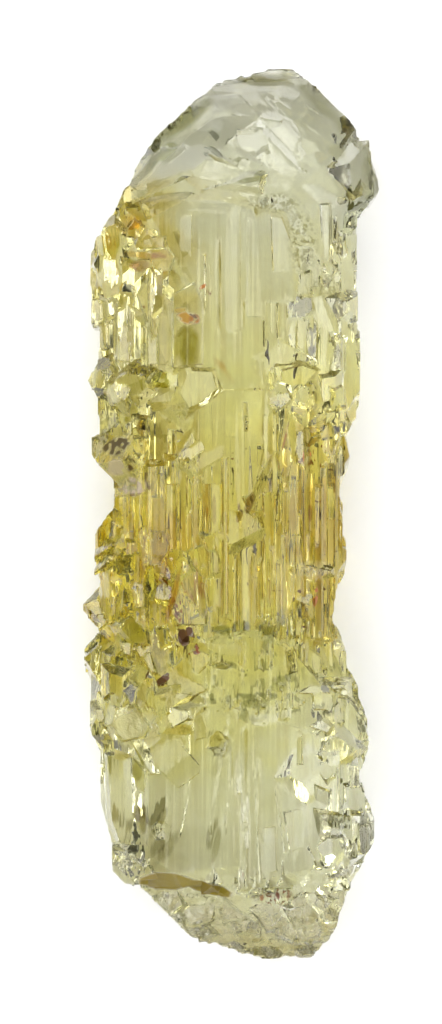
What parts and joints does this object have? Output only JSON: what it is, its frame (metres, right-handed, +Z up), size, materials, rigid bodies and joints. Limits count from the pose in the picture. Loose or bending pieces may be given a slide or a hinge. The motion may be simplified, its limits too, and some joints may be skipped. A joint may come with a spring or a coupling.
{
  "type": "natural beryl crystal",
  "caption": "Loose hexagonal prism of clear yellow-green beryl with a domed end, an etched knobbly waist and a tapered broken root, lying on its flat back face.",
  "frame": {"origin": "centre of the bounding box in X and Y, on the plane the crystal lies on", "axes": "+Y along the crystal's length towards the domed end, +Z up from the back face it lies on to the face that is shown, +X across it to the right as seen from above with the dome away from the viewer"},
  "size_m": [0.0296, 0.0888, 0.0227],
  "materials": {
    "heliodor": "clear natural crystal, glassy faces with fine lengthwise striations, frosted etched hollows"
  },
  "bodies": {
    "root": {"heliodor_crystal": "heliodor"}
  },
  "joints": []
}
